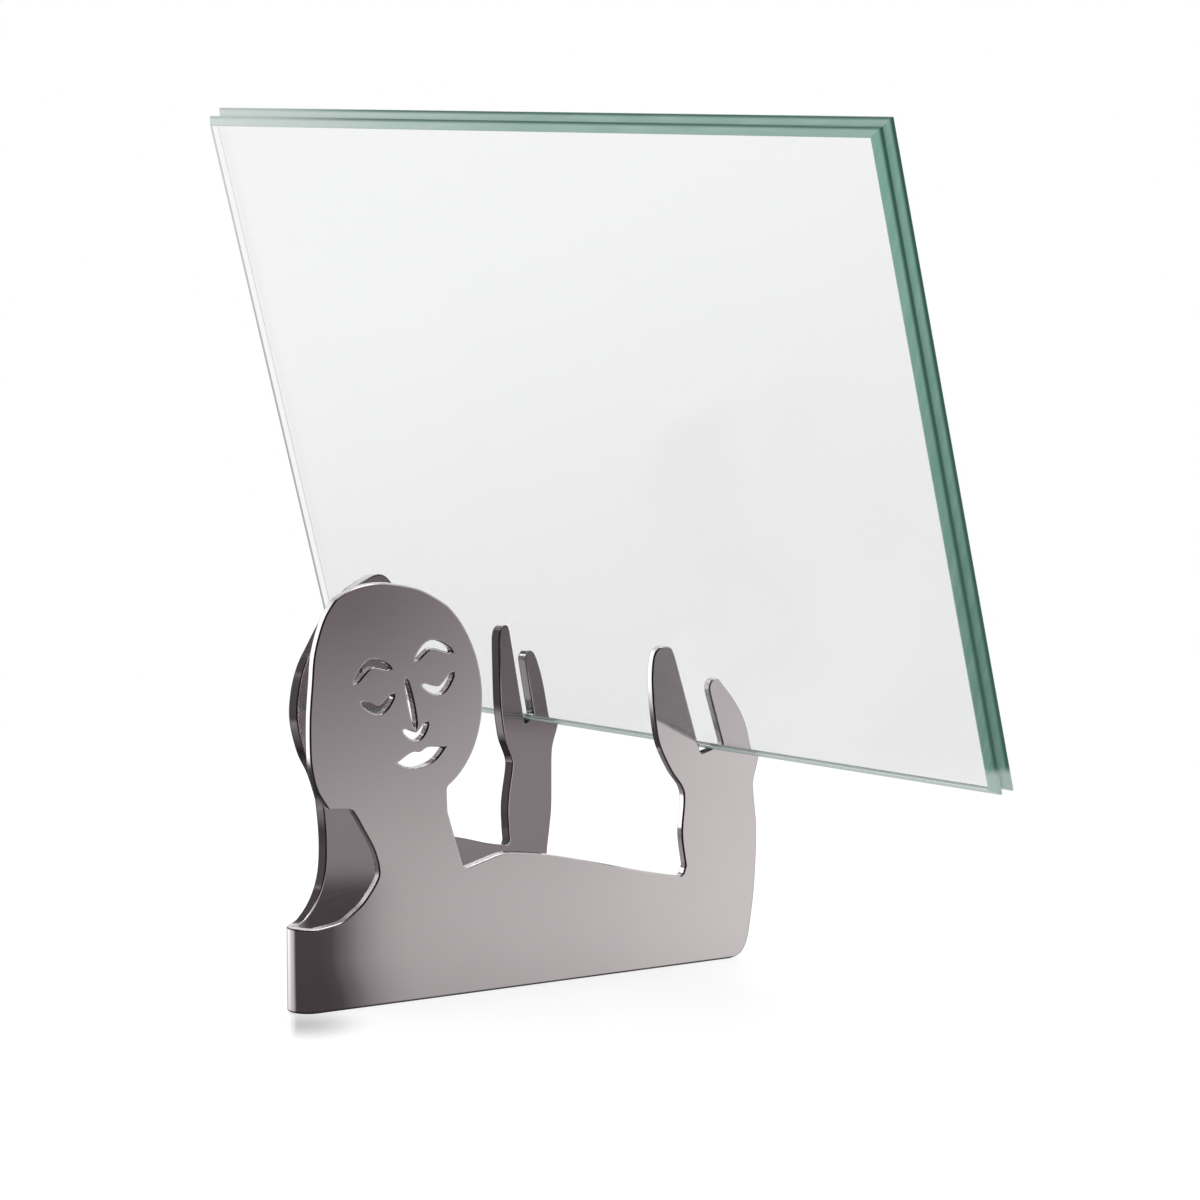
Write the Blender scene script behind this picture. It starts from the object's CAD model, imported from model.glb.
"""Looks of a photo holder: a polished plate folded to a V, and two loose bevelled panes."""

import math

import bmesh
import bpy
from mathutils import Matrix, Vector


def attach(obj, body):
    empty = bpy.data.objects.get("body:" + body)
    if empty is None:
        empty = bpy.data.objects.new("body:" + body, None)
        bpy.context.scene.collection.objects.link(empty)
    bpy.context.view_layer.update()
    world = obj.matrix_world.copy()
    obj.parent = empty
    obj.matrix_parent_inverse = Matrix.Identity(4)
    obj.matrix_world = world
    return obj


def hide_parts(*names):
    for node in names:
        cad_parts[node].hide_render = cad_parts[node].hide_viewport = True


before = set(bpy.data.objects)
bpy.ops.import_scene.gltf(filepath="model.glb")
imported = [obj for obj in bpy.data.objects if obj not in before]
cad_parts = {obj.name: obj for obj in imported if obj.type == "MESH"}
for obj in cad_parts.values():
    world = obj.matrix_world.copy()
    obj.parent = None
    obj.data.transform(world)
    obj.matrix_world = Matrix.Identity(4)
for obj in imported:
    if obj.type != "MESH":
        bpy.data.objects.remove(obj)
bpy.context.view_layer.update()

MM = 0.001
WHITE = (1, 1, 1, 1)

# In the pairs and fours below, a place, level or tone goes from the first number to the
# second. With it the effect goes from 0 to 1, or from the third number to the fourth. Two
# pairs in one are the start and the end of a stretch, both from outside inwards.

# Camera: a long lens a little above the height of the panes' top, on the figures' side
EYE = Vector((-491.5, -554.93, 176.49)) * MM
YAW_DEG = -45.896
PITCH_DEG = -7.635
LENS = 121.89
SENSOR = 36.0

# Plate as it is bent: half the angle of the V, and the axis of the fold
HALF_ANGLE = math.radians(14.95)
FOLD_AXIS_X = 3.0 * MM

# Panes: their lean, where their faces lie across it, their spacing, where the bevel ends
# and the height of their lower edge
LEAN = math.radians(16.3)
PANES_FROM = 92.0 * MM
PANE_PITCH = 2.2 * MM
BEVEL_END = 1.6 * MM
PANES_FOOT = 41.9 * MM

# Edges of the plate and of the panes, taken off by polishing where they turn more than SHARP.
# A face larger than LARGE_FACE keeps its own normal right up to them.
PLATE_ARRIS = 0.3 * MM
PANE_ARRIS = 0.12 * MM
ARRIS_SEGMENTS = 3
SHARP = math.radians(38.0)
LARGE_FACE = 40 * MM ** 2

# The CAD's facets are joined where they meet within this distance and turn less than this
JOIN_WITHIN = 0.002 * MM
FLAT_WITHIN = math.radians(0.4)

# How far a normal points one way, as a cosine, on the plate's cut faces that look up or down,
# round its fold, and across its two sides, and then across a pane on its faces and bevels
CUT_FACE_UP = 0.5
FOLD_FACE_UP = 0.05
PLATE_SIDE_ACROSS = 0.9
PANE_FACE_ACROSS = 0.95
PANE_BEVEL_ACROSS = 0.2

# Floor: its side, its own glow, the reach of the object's shadow, and its paper
FLOOR_SIDE = 6.0
FLOOR_GLOW = 0.78
SHADOW_REACH = 0.34
PAPER_GRAIN = 600.0
PAPER_TONES = ((0.27, 0.27, 0.27, 1), (0.28, 0.28, 0.28, 1))

# A faint shine on the floor before the fold
SHEEN_PLACE = (-0.006, -0.008, 0)
SHEEN_REACH = 0.015
SHEEN = 0.48
SHEEN_ROUGHNESS = 0.12

# Soft light from above
LIGHT_SIDE = 0.9
LIGHT_PLACE = (0.1, 0.1, 1.1)
LIGHT_POWER = 7.0
SKY_FILL = 0.6

# What the polished faces mirror: direction in degrees from +X, the side's tone, its tone
# further down, and the shares of a dark skirt under it and of a dark ground
STUDIO_TONES = [
    (0, 0.4, 0.4, 0, 0), (20, 1.0, 1.0, 0, 0), (60, 1.0, 1.0, 0, 0), (80, 0.6, 0.6, 0, 1),
    (98, 1.7, 1.7, 0, 1), (110, 1.7, 1.7, 0, 1), (120, 1.1, 1.1, 0, 1), (126, 1.0, 1.0, 0, 1),
    (138, 0.8, 0.8, 0, 1), (152, 0.1, 0.1, 0, 0.5), (160, 0.1, 0.1, 0, 0),
    (262, 0.1, 0.1, 0, 0), (270, 0.1, 0.12, 0, 0), (276, 0.14, 0.25, 0, 0),
    (280, 0.19, 0.46, 0, 0), (283, 0.24, 0.66, 0, 0), (285, 0.42, 0.7, 0, 0),
    (288, 0.88, 0.93, 0, 0), (300, 1.0, 1.0, 0, 0), (316, 0.8, 0.8, 0, 0),
    (328, 0.33, 0.33, 1, 0), (352, 0.33, 0.33, 1, 0), (359.9, 0.4, 0.4, 0, 0),
]

# Where the studio changes: levels are the height of a mirrored direction, from -1 straight
# down to 1 straight up, and turns are shares of a full turn from +X
LOWER_TONE_LEVELS = (-0.135, -0.2)
DIMMED_LEVELS = (-0.235, -0.21, 0.84, 1.0)
SKIRT_LEVELS = (-0.197, -0.203)
OVER_SKIRT_LEVELS = (-0.167, -0.159, 0.0, 0.45)
PALE_GROUND_LEVELS = (-0.34, -0.52)
PALE_GROUND_TONE = 0.4
BRINK_BY_TURN = (0.305, 0.34, -0.2, -0.4)
BRINK_FADE = (0.0, -0.12)
DARK_GROUND_SHARE = 0.05
ROOF_LEVELS = (-0.02, 0.3)
ROOF_TURNS = (0.73, 0.8, 0.0, 0.6)
CEILING_LEVELS = (0.35, 0.8)
HIGH_CEILING_LEVELS = (0.85, 0.98)
HIGH_CEILING_TURNS = ((0.4, 0.43), (0.75, 0.72))
BEAM_LEVELS = ((0.58, 0.66), (0.93, 0.88))
BEAM_TURNS = ((0.12, 0.15), (0.44, 0.42))
DARK_TONE = 0.09
DARK_TINT = (1.0, 0.9, 0.955, 1)
UNTINTED_TONES = (0.15, 0.6)

# The plate stays a little curved beside the fold: where that begins to fade and over which
# length, how much the face turns and at which heights it ends above the band, and how it
# grows towards the foot
FOLD_FADE_FROM_X = 2.0 * MM
FOLD_FADE = 5.1 * MM
FOLD_SLOPE_Z = (32 * MM, 20 * MM, 0.0, 0.19)
FOLD_GROWTH_Z = (10 * MM, 0.0, 1.0, 1.6)

# Polished metal: colours and roughness of the faces, the cut walls and the arris, and the
# noise that clouds them and leaves fine polishing marks
FACE_COLOUR = (0.62, 0.572, 0.58)
FACE_ROUGHNESS = 0.045
WALL_COLOUR = (0.66, 0.63, 0.63)
WALL_ROUGHNESS = 0.09
ARRIS_COLOUR = (0.64, 0.6, 0.6, 1)
SMOKED_COLOUR = (0.1, 0.09, 0.09, 1)
DARKER, LIGHTER, DULL = 0.96, 1.03, 0.15
CLOUD_SCALE = 55.0
MARKS_SCALE = (90.0, 90.0, 2600.0)
MARKS = (0.3, 0.75)
LEAST_MARKED, MOST_MARKED = 0.85, 1.2
ARRIS_CLOUD_SCALE = 120.0
ARRIS_SMOKE = (0.2, 0.5, 0.8, 1.0)
ARRIS_ROUGHNESS = (0.3, 0.7, 0.05, 0.09)

# Places on the plate: its lower edge, the near rim of the nape cut-out, which is duller,
# and the rear figure's top. The backs are where the arris turns to -X.
STANDING_LINE_Z = (0.5 * MM, 0.3 * MM)
NAPE_X = (18 * MM, 14 * MM)
NAPE_Z = (40 * MM, 36 * MM)
NAPE_Y = (0.0, -1.5 * MM)
NAPE_ROUGHNESS = 0.3
REAR_TOP_Y = (6 * MM, 9 * MM)
REAR_TOP_Z = (50 * MM, 56 * MM)
BACK_NORMAL_X = (-0.3, -0.5)

# Glass: its index, its faint tints, and the roughness of its mirror outside and inside
GLASS_IOR = 1.52
TINT_SCALE = 30.0
GLASS_TINTS = ((0.992, 0.994, 0.994, 1), (0.997, 0.998, 0.998, 1))
MIRROR_OUTSIDE, MIRROR_INSIDE = 0.22, 0.1

# Grey line beside the panes' bevel at the +Y end, on the faces as seen from outside: its
# place, half its width with the soft edge, its strength from the top down, and its colour
GREY_LINE_Y = 78.0 * MM
GREY_LINE_WIDTH = (0.5 * MM, 0.2 * MM)
GREY_LINE_Z = (0.165, 0.1, 0.5, 0.75)
GREY_LINE_COLOUR = (0.26, 0.31, 0.3, 1)

# Ground edges of the panes: where one colour passes into the next, and the fine dark line
PALE_TO_DEEP_Y = (0.078, -0.01)
FOOT_Z = (PANES_FOOT + 6 * MM, PANES_FOOT + 4 * MM)
END_Z = (0.16, 0.06)
LEFT_Z = (0.155, 0.1)
LEFT_NORMAL_Y = (0.05, 0.1)
LEFT_TOP_COLOUR = (0.5, 0.56, 0.54, 1)
STREAK_SCALE = (900.0, 70.0, 70.0)
STREAK_STRENGTH = (0.35, 0.75, 0.0, 0.16)
STREAK_ROUGHNESS = (0.3, 0.7, 0.12, 0.24)
STREAK_COLOUR = (0.6, 0.72, 0.68, 1)
LINE_DEPTH = (BEVEL_END - 0.65 * MM, BEVEL_END - 0.1 * MM)
LINE_BY_ALONG = (0.1, 0.6, 0.3, 0.9)
LINE_COLOUR = (0.03, 0.11, 0.075, 1)
BESIDE_HANDS_Y = (-0.02, -0.05, 0.0, 0.8)
BESIDE_HANDS_COLOUR = (0.5, 0.62, 0.58, 1)
BEVEL_TONES = {
    "pale": (0.6, 0.66, 0.65, 1), "deep": (0.3, 0.45, 0.4, 1), "foot": (0.5, 0.64, 0.59, 1),
    "end_top": (0.23, 0.45, 0.38, 1), "end_foot": (0.13, 0.28, 0.23, 1),
    "left": (0.1, 0.14, 0.13, 1),
}
LAND_TONES = {
    "pale": (0.45, 0.52, 0.5, 1), "deep": (0.04, 0.09, 0.07, 1), "foot": (0.03, 0.08, 0.06, 1),
    "end_top": (0.05, 0.13, 0.1, 1), "end_foot": (0.03, 0.1, 0.07, 1),
    "left": (0.1, 0.14, 0.13, 1),
}


def make_camera():
    data = bpy.data.cameras.new("camera")
    data.lens = LENS
    data.sensor_width = SENSOR
    data.clip_start = 0.05
    data.clip_end = 20.0
    camera = bpy.data.objects.new("camera", data)
    camera.location = EYE
    camera.rotation_euler = (math.radians(90 + PITCH_DEG), 0, math.radians(YAW_DEG))
    bpy.context.scene.collection.objects.link(camera)
    bpy.context.scene.camera = camera


class Nodes:
    """A short way to write a node tree."""

    def __init__(self, tree):
        self.tree = tree
        tree.nodes.clear()

    def add(self, kind, inputs=None, **settings):
        made = self.tree.nodes.new(kind)
        for key, value in settings.items():
            setattr(made, key, value)
        for key, value in (inputs or {}).items():
            if isinstance(value, bpy.types.NodeSocket):
                self.tree.links.new(value, made.inputs[key])
            else:
                made.inputs[key].default_value = value
        return made

    def math(self, operation, a, b=0.0):
        return self.add("ShaderNodeMath", {0: a, 1: b}, operation=operation).outputs[0]

    def vector(self, operation, inputs):
        return self.add("ShaderNodeVectorMath", inputs, operation=operation)

    def split(self, vector):
        """The vector's X, Y and Z."""
        return self.add("ShaderNodeSeparateXYZ", {0: vector}).outputs

    def span(self, value, low, high, to_low=0.0, to_high=1.0, kind="SMOOTHSTEP"):
        """value from low..high to to_low..to_high, with soft ends unless kind is LINEAR."""
        made = self.add(
            "ShaderNodeMapRange",
            {
                "Value": value, "From Min": low, "From Max": high,
                "To Min": to_low, "To Max": to_high,
            },
            interpolation_type=kind,
        )
        return made.outputs["Result"]

    def between(self, value, rise, fall):
        """1 on a stretch with the soft ends rise and fall, each from outside inwards."""
        return self.math("MULTIPLY", self.span(value, *rise), self.span(value, *fall))

    def blend(self, share, a, b):
        """Number a at share 0 and b at share 1."""
        return self.add("ShaderNodeMix", {0: share, 2: a, 3: b}, data_type="FLOAT").outputs[0]

    def mix(self, share, a, b):
        """Colour a at share 0 and b at share 1."""
        return self.add("ShaderNodeMix", {0: share, 6: a, 7: b}, data_type="RGBA").outputs[2]

    def either(self, share, a, b):
        """Shader a at share 0 and b at share 1."""
        return self.add("ShaderNodeMixShader", {0: share, 1: a, 2: b}).outputs[0]

    def noise(self, place, scale, detail=3.0, roughness=0.5):
        made = self.add(
            "ShaderNodeTexNoise",
            {"Vector": place, "Scale": scale, "Detail": detail, "Roughness": roughness},
        )
        return made.outputs["Fac"]

    def stretched(self, place, scale):
        return self.add("ShaderNodeMapping", {"Vector": place, "Scale": scale}).outputs[0]

    def emission(self, strength):
        return self.add("ShaderNodeEmission", {"Color": WHITE, "Strength": strength}).outputs[0]

    def background(self, colour, strength):
        made = self.add("ShaderNodeBackground", {"Color": colour, "Strength": strength})
        return made.outputs[0]

    def surface(self, shader):
        self.add("ShaderNodeOutputMaterial", {"Surface": shader})


def new_material(name):
    """An empty material, the writer of its nodes, and the place on the object."""
    material = bpy.data.materials.new(name)
    material.use_nodes = True
    n = Nodes(material.node_tree)
    return material, n, n.add("ShaderNodeTexCoord").outputs["Object"]


def ray_kinds(n):
    """Two switches: the ray shows the background straight or through glass, or was reflected."""
    path = n.add("ShaderNodeLightPath")
    reflected = n.math("GREATER_THAN", path.outputs["Glossy Depth"], 0.5)
    through = n.math("SUBTRACT", path.outputs["Is Transmission Ray"], reflected)
    return n.math("MAXIMUM", path.outputs["Is Camera Ray"], through), reflected


def studio_sides(n, turn, level):
    """Tone of the studio's sides, of the dark skirt under some of them and of the ground."""
    ramp = n.add("ShaderNodeValToRGB", {"Fac": turn})
    stops = ramp.color_ramp
    while len(stops.elements) < len(STUDIO_TONES):
        stops.elements.new(0.5)
    for element, (degrees, *tones) in zip(stops.elements, STUDIO_TONES):
        element.position = degrees / 360
        element.color = tones
    upper, lower, skirted = n.add("ShaderNodeSeparateColor", {0: ramp.outputs["Color"]}).outputs
    sides = n.blend(n.span(level, *LOWER_TONE_LEVELS, kind="LINEAR"), upper, lower)
    sides = n.math("MULTIPLY", sides, n.span(level, *DIMMED_LEVELS))
    skirt = n.math("MULTIPLY", n.span(level, *SKIRT_LEVELS), skirted)
    sides = n.blend(skirt, sides, DARK_TONE)
    over_skirt = n.math("MULTIPLY", n.span(level, *OVER_SKIRT_LEVELS), skirted)
    sides = n.math("MULTIPLY", sides, n.math("SUBTRACT", 1.0, over_skirt))
    pale_ground = n.blend(n.span(level, *PALE_GROUND_LEVELS), sides, PALE_GROUND_TONE)
    from_brink = n.math("SUBTRACT", level, n.span(turn, *BRINK_BY_TURN))
    darkened = n.math("MULTIPLY", sides, DARK_GROUND_SHARE)
    dark_ground = n.blend(n.span(from_brink, *BRINK_FADE), sides, darkened)
    return n.blend(ramp.outputs["Alpha"], pale_ground, dark_ground)


def studio_overhead(n, turn, level, sides):
    """The sides' tone with a pale roof, the white ceiling and a dark beam above them."""
    roof = n.math("MULTIPLY", n.span(level, *ROOF_LEVELS), n.span(turn, *ROOF_TURNS))
    sides = n.math("MAXIMUM", sides, roof)
    high = n.between(turn, *HIGH_CEILING_TURNS)
    ceiling = n.blend(high, n.span(level, *CEILING_LEVELS), n.span(level, *HIGH_CEILING_LEVELS))
    tone = n.blend(ceiling, sides, 1.0)
    beam = n.math("MULTIPLY", n.between(level, *BEAM_LEVELS), n.between(turn, *BEAM_TURNS))
    return n.blend(beam, tone, DARK_TONE)


def make_world():
    """White behind the object, a soft fill, and in reflections a studio of pale and dark sides."""
    world = bpy.data.worlds.new("studio")
    world.use_nodes = True
    bpy.context.scene.world = world
    n = Nodes(world.node_tree)
    axes = n.split(n.add("ShaderNodeTexCoord").outputs["Generated"])
    turn = n.math("ARCTAN2", axes["Y"], axes["X"])
    turn = n.math("DIVIDE", turn, 2 * math.pi)
    turn = n.math("FRACT", n.math("ADD", turn, 1.0))
    level = axes["Z"]
    tone = studio_overhead(n, turn, level, studio_sides(n, turn, level))
    tint = n.mix(n.span(tone, *UNTINTED_TONES), DARK_TINT, WHITE)
    colour = n.vector("SCALE", {0: tint, "Scale": tone}).outputs[0]
    seen, mirrored = ray_kinds(n)
    lit = n.either(mirrored, n.background(WHITE, SKY_FILL), n.background(colour, 1.0))
    shown = n.either(seen, lit, n.background(WHITE, 1.0))
    n.add("ShaderNodeOutputWorld", {"Surface": shown})


def make_floor():
    """A pale floor that takes the object's soft shadow and meets the white behind it."""
    bpy.ops.mesh.primitive_plane_add(size=FLOOR_SIDE)
    floor = bpy.context.object
    floor.name = "floor"
    floor.visible_glossy = False
    material, n, place = new_material("floor_paper")
    paper = n.add(
        "ShaderNodeBsdfPrincipled",
        {
            "Base Color": n.mix(n.noise(place, PAPER_GRAIN), *PAPER_TONES),
            "Roughness": 0.6,
            "Specular IOR Level": 0.3,
        },
    ).outputs[0]
    near = n.add("ShaderNodeAddShader", {0: paper, 1: n.emission(FLOOR_GLOW)}).outputs[0]
    sheen = n.add("ShaderNodeBsdfGlossy", {"Color": WHITE, "Roughness": SHEEN_ROUGHNESS}).outputs[0]
    to_fold = n.vector("DISTANCE", {0: place, 1: SHEEN_PLACE}).outputs["Value"]
    near = n.either(n.span(to_fold, SHEEN_REACH, 0.0, 0.0, SHEEN), near, sheen)
    reach = n.vector("LENGTH", {0: place}).outputs["Value"]
    far = n.span(reach, SHADOW_REACH * 0.5, SHADOW_REACH)
    shown = n.either(far, near, n.emission(1.0))
    mirrored = ray_kinds(n)[1]
    clear = n.add("ShaderNodeBsdfTransparent").outputs[0]
    n.surface(n.either(mirrored, shown, clear))
    floor.data.materials.append(material)


def make_light():
    data = bpy.data.lights.new("soft_light", "AREA")
    data.shape = "SQUARE"
    data.size = LIGHT_SIDE
    data.energy = LIGHT_POWER
    light = bpy.data.objects.new("soft_light", data)
    light.location = LIGHT_PLACE
    bpy.context.scene.collection.objects.link(light)


def curved_by_fold(n, place):
    """Normal of a face that bends slightly towards the fold, on the band and just above it."""
    axes = n.split(place)
    away = n.math("MAXIMUM", n.math("SUBTRACT", axes["X"], FOLD_FADE_FROM_X), 0.0)
    slope = n.math("EXPONENT", n.math("DIVIDE", away, -FOLD_FADE))
    slope = n.math("MULTIPLY", slope, n.span(axes["Z"], *FOLD_SLOPE_Z))
    slope = n.math("MULTIPLY", slope, n.span(axes["Z"], *FOLD_GROWTH_Z))
    normal = n.add("ShaderNodeNewGeometry").outputs["Normal"]
    side = n.math("SIGN", n.split(normal)["X"])
    turn = n.add("ShaderNodeCombineXYZ", {"X": n.math("MULTIPLY", slope, side)}).outputs[0]
    bent = n.vector("ADD", {0: normal, 1: turn}).outputs[0]
    return n.vector("NORMALIZE", {0: bent}).outputs[0]


def standing_line(n, place):
    """1 along the plate's lower edge, where it stands on the table."""
    return n.span(n.split(place)["Z"], *STANDING_LINE_Z)


def plate_material(name, colour, roughness, nape_roughness=0.0):
    """Polished metal, a little cloudy, with fine marks, and duller on the near nape's rim."""
    material, n, place = new_material(name)
    darker, lighter, dull = (
        tuple(min(1.0, share * c) for c in colour) + (1,) for share in (DARKER, LIGHTER, DULL)
    )
    cloud = n.noise(place, CLOUD_SCALE, 4.0)
    polished = n.mix(standing_line(n, place), n.mix(cloud, darker, lighter), dull)
    marks = n.noise(n.stretched(place, MARKS_SCALE), 1.0, 2.0, 0.6)
    marked = n.span(marks, *MARKS, roughness * LEAST_MARKED, roughness * MOST_MARKED)
    spot = n.split(place)
    nape = n.math("MULTIPLY", n.span(spot["X"], *NAPE_X), n.span(spot["Z"], *NAPE_Z))
    nape = n.math("MULTIPLY", nape, n.span(spot["Y"], *NAPE_Y, 0.0, nape_roughness))
    bump = n.add(
        "ShaderNodeBump",
        {
            "Height": cloud, "Strength": 0.05, "Distance": 0.02 * MM,
            "Normal": curved_by_fold(n, place),
        },
    )
    shell = n.add(
        "ShaderNodeBsdfPrincipled",
        {
            "Base Color": polished,
            "Metallic": 1.0,
            "Roughness": n.math("MAXIMUM", marked, nape),
            "Normal": bump.outputs[0],
        },
    )
    n.surface(shell.outputs[0])
    return material


def arris_material():
    """Rolled edge of the plate, smoked darker at the backs, the rear head's top and the table."""
    material, n, place = new_material("polished_arris")
    cloud = n.noise(place, ARRIS_CLOUD_SCALE)
    normal = n.split(n.add("ShaderNodeNewGeometry").outputs["Normal"])
    dark = n.math("MAXIMUM", n.span(normal["X"], *BACK_NORMAL_X), standing_line(n, place))
    spot = n.split(place)
    rear = n.math("MULTIPLY", n.span(spot["Y"], *REAR_TOP_Y), n.span(spot["Z"], *REAR_TOP_Z))
    dark = n.math("MAXIMUM", dark, rear)
    smoke = n.math("MULTIPLY", dark, n.span(cloud, *ARRIS_SMOKE))
    shell = n.add(
        "ShaderNodeBsdfPrincipled",
        {
            "Base Color": n.mix(smoke, ARRIS_COLOUR, SMOKED_COLOUR),
            "Metallic": 1.0,
            "Roughness": n.span(cloud, *ARRIS_ROUGHNESS),
        },
    )
    n.surface(shell.outputs[0])
    return material


def clear_glass(n, place):
    """Clear float glass, unevenly tinted and mirroring, with a grey line beside one bevel."""
    colour = n.mix(n.noise(place, TINT_SCALE), *GLASS_TINTS)
    spot = n.split(place)
    inside = n.add("ShaderNodeNewGeometry").outputs["Backfacing"]
    from_line = n.math("ABSOLUTE", n.math("SUBTRACT", spot["Y"], GREY_LINE_Y))
    line = n.span(from_line, *GREY_LINE_WIDTH)
    line = n.math("MULTIPLY", line, n.math("SUBTRACT", 1.0, inside))
    line = n.math("MULTIPLY", line, n.span(spot["Z"], *GREY_LINE_Z))
    colour = n.mix(line, colour, GREY_LINE_COLOUR)
    through = n.add(
        "ShaderNodeBsdfRefraction", {"Color": colour, "Roughness": 0.0, "IOR": GLASS_IOR}
    ).outputs[0]
    uneven = n.blend(inside, MIRROR_OUTSIDE, MIRROR_INSIDE)
    mirror = n.add("ShaderNodeBsdfGlossy", {"Color": WHITE, "Roughness": uneven}).outputs[0]
    share = n.add("ShaderNodeFresnel", {"IOR": GLASS_IOR}).outputs[0]
    return n.either(share, through, mirror)


def glass_material():
    material, n, place = new_material("float_glass")
    n.surface(clear_glass(n, place))
    return material


def pane_depth(n, spot):
    """How deep a place lies in its pane, from the smaller face."""
    across = n.math("MULTIPLY", spot["X"], math.cos(LEAN))
    across = n.math("ADD", across, n.math("MULTIPLY", spot["Z"], math.sin(LEAN)))
    pitches = n.math("DIVIDE", n.math("SUBTRACT", across, PANES_FROM), PANE_PITCH)
    return n.math("MULTIPLY", n.math("FRACT", pitches), PANE_PITCH)


def glass_edge_material(name, tones, inside_clear):
    """Ground edge that gathers the glass's green: pale at one end of the top, deep at the other.

    With inside_clear it lets light through where it is seen from within the glass.
    """
    material, n, place = new_material(name)
    spot = n.split(place)
    along = n.span(spot["Y"], *PALE_TO_DEEP_Y, kind="LINEAR")
    body = n.mix(along, tones["pale"], tones["deep"])
    at_foot = n.span(spot["Z"], *FOOT_Z)
    body = n.mix(at_foot, body, tones["foot"])

    # The two ends of the pane, of which the one at +Y is on the picture's left
    facing = n.add("ShaderNodeNewGeometry").outputs
    normal = n.split(facing["True Normal"])
    on_end = n.math("GREATER_THAN", n.math("ABSOLUTE", normal["Y"]), 0.5)
    end = n.mix(n.span(spot["Z"], *END_Z), tones["end_top"], tones["end_foot"])
    body = n.mix(on_end, body, end)
    left = n.mix(n.span(spot["Z"], *LEFT_Z), LEFT_TOP_COLOUR, tones["left"])
    body = n.mix(n.span(normal["Y"], *LEFT_NORMAL_Y), body, left)

    # Streaks of the grinding, the fine dark line, and the pale foot beside the hands
    streak = n.noise(n.stretched(place, STREAK_SCALE), 1.0, 3.0, 0.6)
    body = n.mix(n.span(streak, *STREAK_STRENGTH), body, STREAK_COLOUR)
    lined = n.span(pane_depth(n, spot), *LINE_DEPTH)
    strength = n.math("MAXIMUM", on_end, n.span(along, *LINE_BY_ALONG))
    body = n.mix(n.math("MULTIPLY", lined, strength), body, LINE_COLOUR)
    beside_hands = n.math("MULTIPLY", at_foot, n.span(spot["Y"], *BESIDE_HANDS_Y))
    body = n.mix(beside_hands, body, BESIDE_HANDS_COLOUR)

    ground = n.add(
        "ShaderNodeBsdfPrincipled",
        {
            "Base Color": body,
            "Roughness": n.span(streak, *STREAK_ROUGHNESS),
            "IOR": GLASS_IOR,
        },
    ).outputs[0]
    if inside_clear:
        ground = n.either(facing["Backfacing"], ground, clear_glass(n, place))
    n.surface(ground)
    return material


def mean_normal(faces):
    """Normal of the widest face when it is a large one, and otherwise the mean of all."""
    widest = max(faces, key=lambda f: f.calc_area())
    if widest.calc_area() > LARGE_FACE:
        return widest.normal.copy()
    return sum((f.normal for f in faces), Vector()).normalized()


def rolled_normals(work, arris_faces):
    """A normal for every corner: faces and walls stay true, and the arris rolls between them."""
    arris = set(arris_faces)
    normals = []
    for face in work.faces:
        for corner in face.loops:
            around = list(corner.vert.link_faces)
            kept = [f for f in around if f not in arris]
            if face not in arris:
                kept = [f for f in kept if f.normal.angle(face.normal, 0) < SHARP]
            normals.append(mean_normal(kept or around))
    return normals


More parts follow.
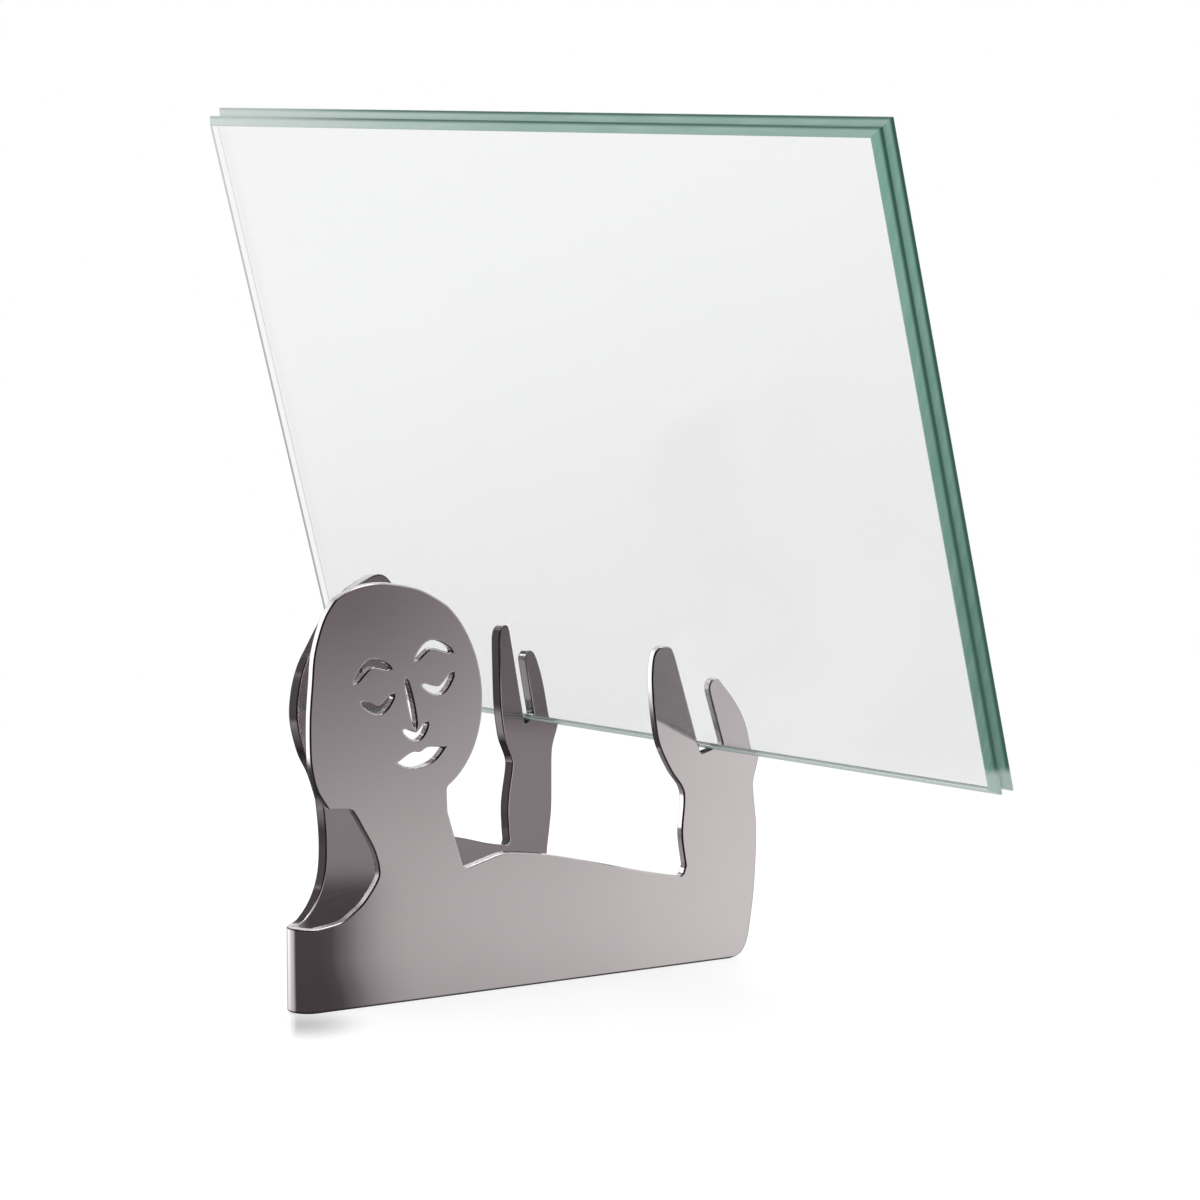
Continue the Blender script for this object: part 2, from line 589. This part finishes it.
def softened_copy(node, name, arris, materials, zone):
    """A copy of a CAD solid with flat faces made whole and its edges taken off.

    zone tells each face's material, and the edges that are taken off get the last one.
    """
    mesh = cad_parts[node].data.copy()
    mesh.name = name
    mesh.materials.clear()
    for material in materials:
        mesh.materials.append(material)
    work = bmesh.new()
    work.from_mesh(mesh)
    bmesh.ops.remove_doubles(work, verts=work.verts, dist=JOIN_WITHIN)
    bmesh.ops.dissolve_limit(work, angle_limit=FLAT_WITHIN, verts=work.verts, edges=work.edges)
    for face in work.faces:
        face.smooth = True
        face.material_index = zone(face)
    made = bmesh.ops.bevel(
        work, geom=[e for e in work.edges if e.is_manifold and e.calc_face_angle(0) > SHARP],
        offset=arris, offset_type="OFFSET", segments=ARRIS_SEGMENTS, profile=0.5,
        affect="EDGES", clamp_overlap=False, material=-1,
    )
    for face in made["faces"]:
        face.material_index = len(materials) - 1
    work.normal_update()
    normals = rolled_normals(work, made["faces"])
    work.to_mesh(mesh)
    work.free()
    mesh.normals_split_custom_set(normals)
    piece = bpy.data.objects.new(name, mesh)
    bpy.context.scene.collection.objects.link(piece)
    return piece


def leg_normals():
    """Outward normals of the two legs' flat faces."""
    return [Vector((-math.sin(HALF_ANGLE), side * math.cos(HALF_ANGLE), 0)) for side in (-1, 1)]


def plate_zone(face):
    """1 for the cut faces, which run through the plate's thickness, and 0 for the others."""
    up = abs(face.normal.z)
    if up > CUT_FACE_UP:
        return 1
    across = max(abs(face.normal.dot(n)) for n in leg_normals())
    round_fold = all(v.co.x < FOLD_AXIS_X for v in face.verts) and up < FOLD_FACE_UP
    middle = face.calc_center_median()
    out = Vector((middle.x - FOLD_AXIS_X, middle.y, 0))
    radial = out.length > 0 and abs(face.normal.dot(out.normalized())) > PLATE_SIDE_ACROSS
    return int(across < PLATE_SIDE_ACROSS and not (round_fold and radial))


def pane_zone(face):
    """0 for a pane's two faces, 1 for its bevels and 2 for the narrow lands under them."""
    across = abs(face.normal.dot(Vector((math.cos(LEAN), 0, math.sin(LEAN)))))
    if across > PANE_FACE_ACROSS:
        return 0
    return 1 if across > PANE_BEVEL_ACROSS else 2


def make_stand():
    materials = [
        plate_material("polished_plate", FACE_COLOUR, FACE_ROUGHNESS),
        plate_material("polished_edge", WALL_COLOUR, WALL_ROUGHNESS, NAPE_ROUGHNESS),
        arris_material(),
    ]
    stand = softened_copy("figure_stand", "folded_plate", PLATE_ARRIS, materials, plate_zone)
    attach(stand, "stand")
    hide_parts("figure_stand")


def make_panes():
    materials = [
        glass_material(),
        glass_edge_material("glass_bevel", BEVEL_TONES, True),
        glass_edge_material("glass_land", LAND_TONES, False),
        glass_edge_material("glass_arris", BEVEL_TONES, False),
    ]
    for node in ("figure_side_pane", "viewer_side_pane"):
        pane = softened_copy(node, node + "_glass", PANE_ARRIS, materials, pane_zone)
        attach(pane, node)
        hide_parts(node)


make_camera()
make_world()
make_floor()
make_light()
make_stand()
make_panes()

bpy.context.scene.view_settings.view_transform = "Standard"
